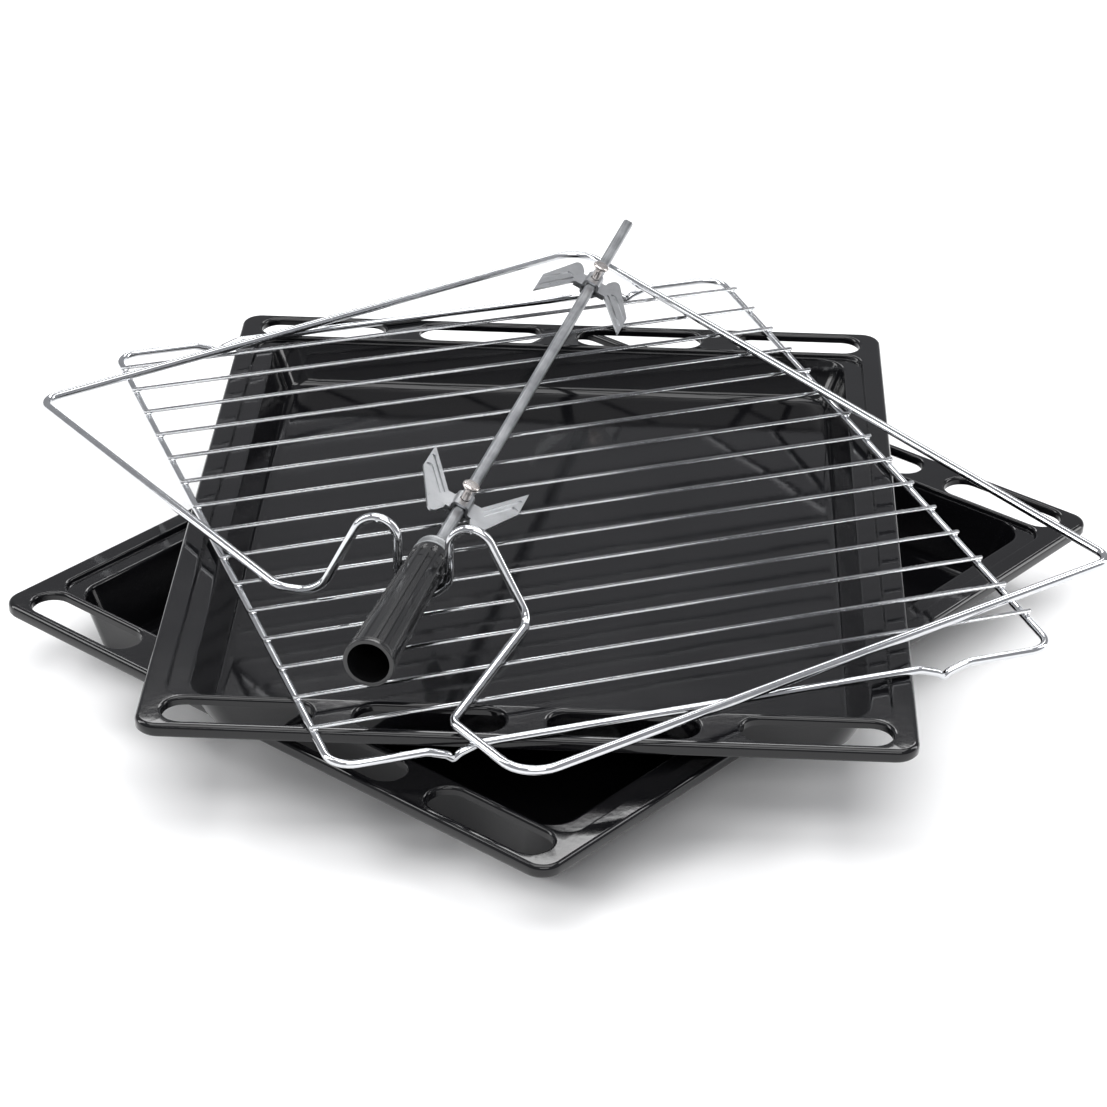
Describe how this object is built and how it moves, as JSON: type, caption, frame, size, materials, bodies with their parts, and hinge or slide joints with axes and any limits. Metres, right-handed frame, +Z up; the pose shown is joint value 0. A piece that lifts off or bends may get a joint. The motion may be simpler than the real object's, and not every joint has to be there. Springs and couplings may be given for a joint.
{
  "type": "rotisserie and baking accessory set",
  "caption": "Rotisserie accessory set: enamelled oven trays, a chrome wire rack, a wire cradle and a square spit with forks and a hollow handle, laid in a stack.",
  "frame": {"origin": "centre of the bounding box in plan, on the surface the deep tray stands on", "axes": "+Z up, +Y away from the front of the picture, +X to its right"},
  "size_m": [0.57, 0.6348, 0.1256],
  "materials": {
    "tray_enamel": "glossy black vitreous enamel on sheet steel",
    "chrome_wire": "bright chrome-plated steel wire",
    "spit_steel": "satin square bar",
    "fork_steel": "stamped stainless sheet",
    "screw_nickel": "warm nickel plate",
    "ferrule_steel": "satin grey collar",
    "handle_black": "glossy black heat-resistant plastic, fluted"
  },
  "bodies": {
    "lower_tray": {"deep_tray": "tray_enamel"},
    "upper_tray": {"baking_tray": "tray_enamel"},
    "rack": {"rack_frame": "chrome_wire", "rack_bar_01": "chrome_wire", "rack_bar_02": "chrome_wire", "rack_bar_03": "chrome_wire", "rack_bar_04": "chrome_wire", "rack_bar_05": "chrome_wire", "rack_bar_06": "chrome_wire", "rack_bar_07": "chrome_wire", "rack_bar_08": "chrome_wire", "rack_bar_09": "chrome_wire", "rack_bar_10": "chrome_wire", "rack_bar_11": "chrome_wire", "rack_bar_12": "chrome_wire", "rack_bar_13": "chrome_wire", "rack_bar_14": "chrome_wire", "rack_bar_15": "chrome_wire"},
    "cradle": {"spit_cradle": "chrome_wire"},
    "spit": {"spit_rod": "spit_steel"},
    "handle": {"handle_grip": "handle_black", "handle_ferrule": "ferrule_steel"},
    "near_fork": {"near_fork_plate": "fork_steel", "near_fork_keeper": "fork_steel"},
    "far_fork": {"far_fork_plate": "fork_steel", "far_fork_keeper": "fork_steel"},
    "near_screw": {"near_fork_screw": "screw_nickel"},
    "far_screw": {"far_fork_screw": "screw_nickel"}
  },
  "joints": [
    {"name": "upper_tray_lift", "type": "slide", "parent": "lower_tray", "child": "upper_tray", "axis": [0, 0, 1], "range_m": [0, 0.15]},
    {"name": "rack_lift", "type": "slide", "parent": "upper_tray", "child": "rack", "axis": [0, 0, 1], "range_m": [0, 0.15]},
    {"name": "cradle_lift", "type": "slide", "parent": "rack", "child": "cradle", "axis": [0, 0, 1], "range_m": [0, 0.15]},
    {"name": "spit_turn", "type": "hinge", "parent": "cradle", "child": "spit", "pos_m": [-0.06656, -0.14513, 0.09731], "axis": [0.2214, 0.9746, -0.0321], "range_deg": [-40, 0]},
    {"name": "handle_pull", "type": "slide", "parent": "spit", "child": "handle", "axis": [-0.2214, -0.9746, 0.0321], "range_m": [0, 0.12]},
    {"name": "near_fork_slide", "type": "slide", "parent": "spit", "child": "near_fork", "axis": [0.2214, 0.9746, -0.0321], "range_m": [-0.028, 0.1]},
    {"name": "far_fork_slide", "type": "slide", "parent": "spit", "child": "far_fork", "axis": [0.2214, 0.9746, -0.0321], "range_m": [-0.1, 0.008]},
    {"name": "near_screw_turn", "type": "hinge", "parent": "near_fork", "child": "near_screw", "pos_m": [-0.05039, -0.07398, 0.09497], "axis": [0.3951, -0.0596, 0.9167], "continuous": true},
    {"name": "far_screw_turn", "type": "hinge", "parent": "far_fork", "child": "far_screw", "pos_m": [0.01648, 0.22037, 0.08528], "axis": [0.3951, -0.0596, 0.9167], "continuous": true}
  ]
}
